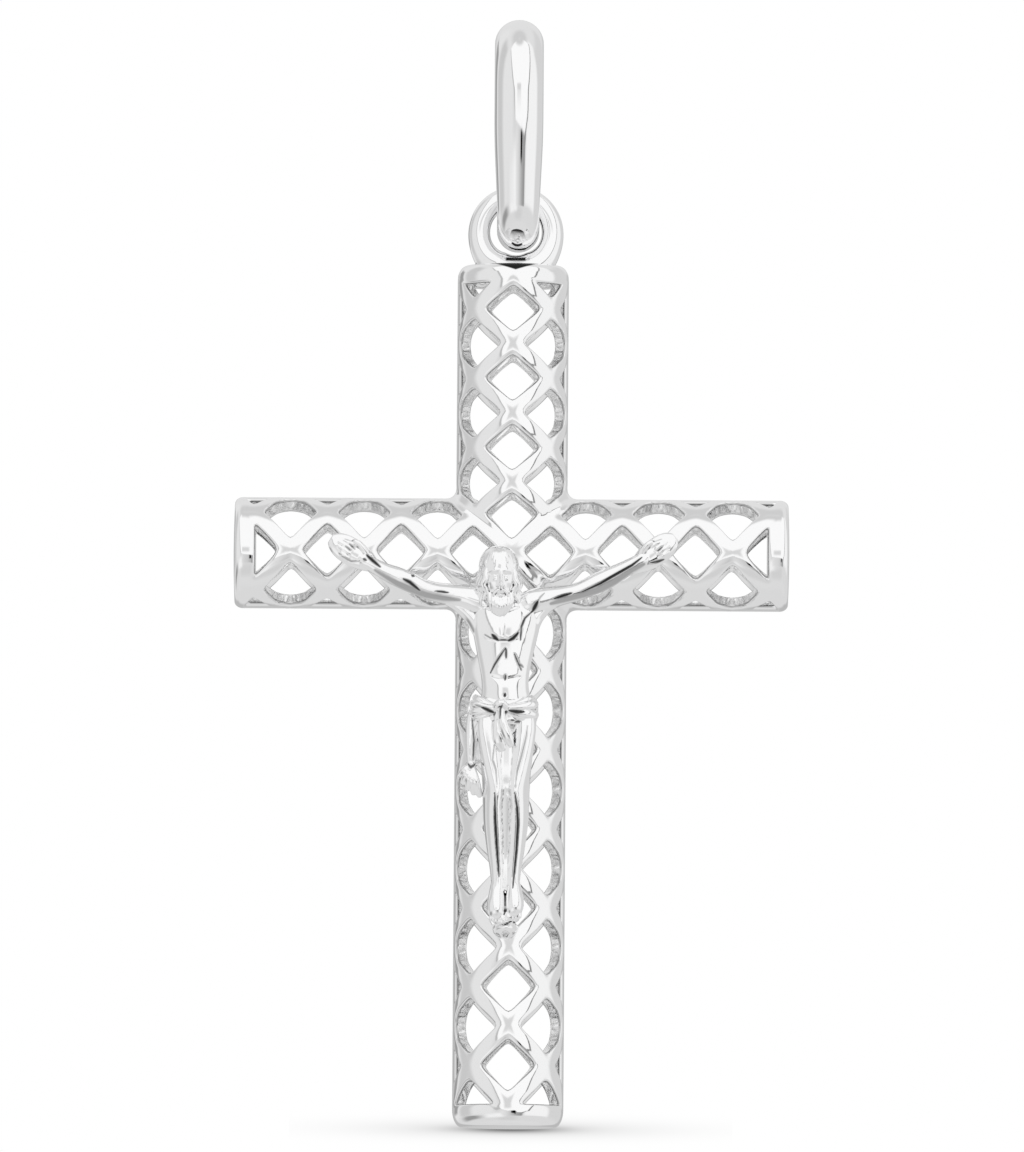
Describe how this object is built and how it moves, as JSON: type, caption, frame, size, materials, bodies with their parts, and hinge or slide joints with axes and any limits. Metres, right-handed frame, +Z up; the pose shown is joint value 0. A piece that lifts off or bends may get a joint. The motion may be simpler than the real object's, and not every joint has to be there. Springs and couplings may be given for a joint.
{
  "type": "crucifix pendant",
  "caption": "Pierced round-tube cross pendant with a cast figure on its front, a soldered hanging loop and a long oval bail that takes a neck chain.",
  "frame": {"origin": "where a neck chain lies, on the inner top of the bail, in the middle of its width", "axes": "+Z up along the upright, +X along the arm to the viewer's right, -Y the front with the figure; the chain runs along X"},
  "size_m": [0.025, 0.0079, 0.05],
  "materials": {
    "silver_cross": "sterling silver, bright polished",
    "silver_corpus": "cast sterling silver, bright polished",
    "silver_bail": "sterling silver wire, bright polished"
  },
  "bodies": {
    "bail": {"bail": "silver_bail"},
    "cross": {"lattice_cross": "silver_cross", "corpus": "silver_corpus"}
  },
  "joints": [
    {"name": "loop_swing", "type": "hinge", "parent": "bail", "child": "cross", "pos_m": [0, 0, -0.00579], "axis": [1, 0, 0], "range_deg": [-85, 85]}
  ]
}
